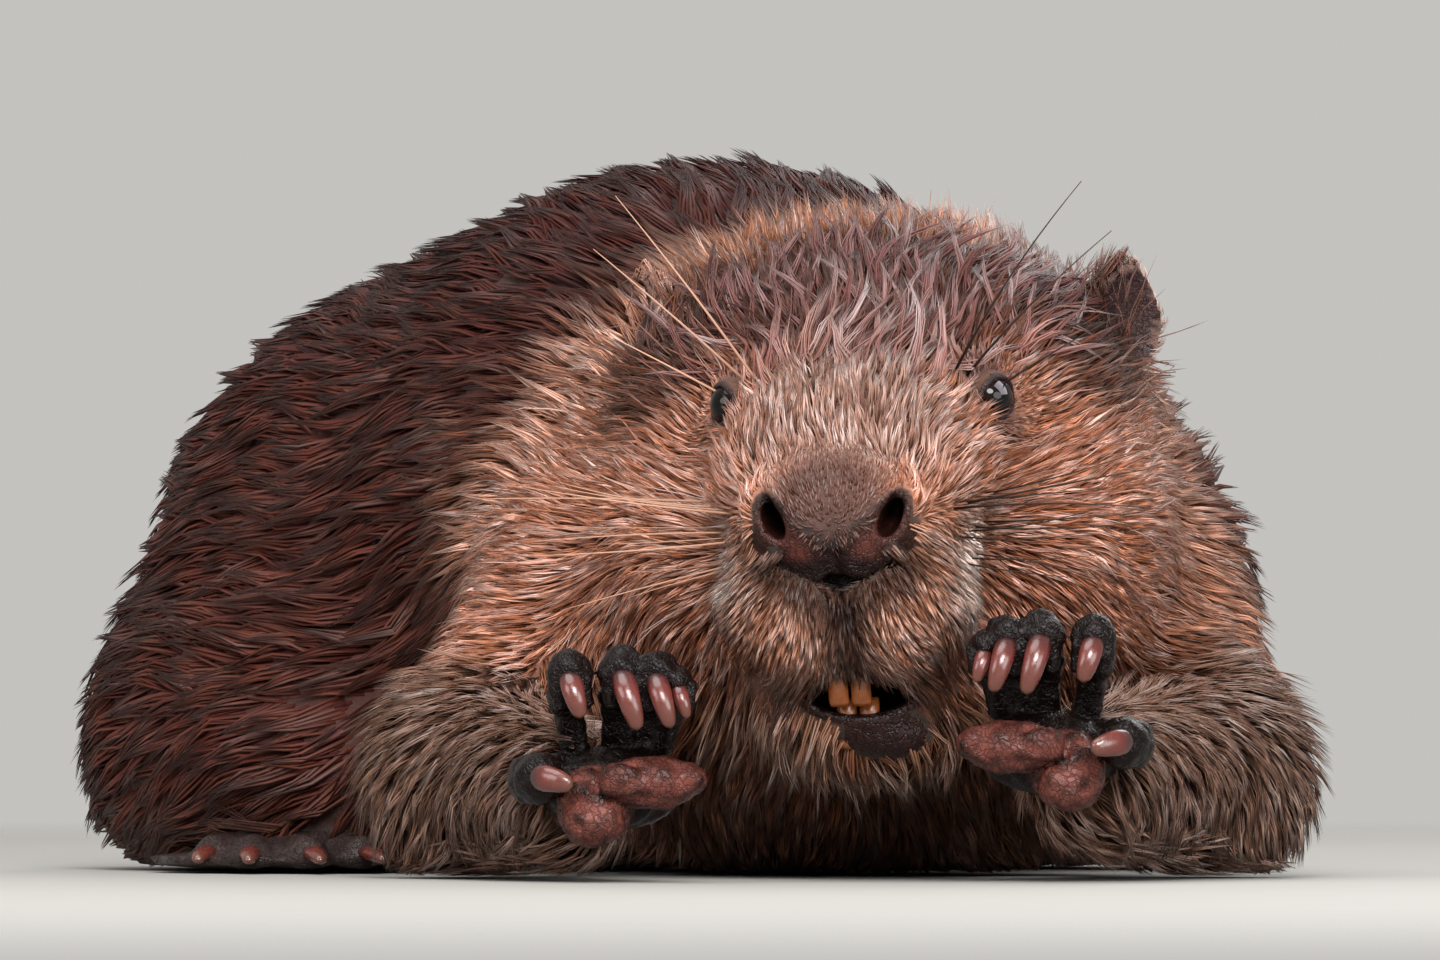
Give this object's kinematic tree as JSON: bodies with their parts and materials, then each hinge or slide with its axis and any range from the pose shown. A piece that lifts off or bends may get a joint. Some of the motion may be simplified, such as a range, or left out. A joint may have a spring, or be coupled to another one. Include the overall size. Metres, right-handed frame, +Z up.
{
  "type": "beaver model",
  "caption": "Still life-size model of a crouching adult Eurasian beaver, forepaws curled as if round a stick, with flat scaly tail.",
  "frame": {"origin": "centre of the bounding box's bottom face, on the floor the animal rests on", "axes": "+Y along the trunk from the head to the rump, with the head at the -Y end; +X to the animal's left; +Z up"},
  "size_m": [0.3602, 0.8516, 0.227],
  "materials": {
    "coat": "wet-looking clumped fur, dark brown on the body and grey-tan on the face",
    "bare_skin": "moist wrinkled dark skin with red-brown pads",
    "claw": "glossy pink-brown horn",
    "tooth": "glossy orange enamel",
    "eye": "polished near-black",
    "tail_scales": "small dark overlapping scales"
  },
  "bodies": {
    "root": {"trunk": "coat", "neck": "coat", "head": "coat", "ear_left": "coat", "eye_left": "eye", "upper_incisor_left": "tooth", "lower_incisor_left": "tooth", "foreleg_left": "coat", "forepaw_left": "bare_skin", "hindleg_left": "coat", "hindfoot_left": "bare_skin", "fore_claw_left_1": "claw", "fore_claw_left_2": "claw", "fore_claw_left_3": "claw", "fore_claw_left_4": "claw", "fore_claw_left_5": "claw", "hind_claw_left_1": "claw", "hind_claw_left_2": "claw", "hind_claw_left_3": "claw", "hind_claw_left_4": "claw", "hind_claw_left_5": "claw", "ear_right": "coat", "eye_right": "eye", "upper_incisor_right": "tooth", "lower_incisor_right": "tooth", "foreleg_right": "coat", "forepaw_right": "bare_skin", "hindleg_right": "coat", "hindfoot_right": "bare_skin", "fore_claw_right_1": "claw", "fore_claw_right_2": "claw", "fore_claw_right_3": "claw", "fore_claw_right_4": "claw", "fore_claw_right_5": "claw", "hind_claw_right_1": "claw", "hind_claw_right_2": "claw", "hind_claw_right_3": "claw", "hind_claw_right_4": "claw", "hind_claw_right_5": "claw", "tail": "tail_scales"}
  },
  "joints": []
}
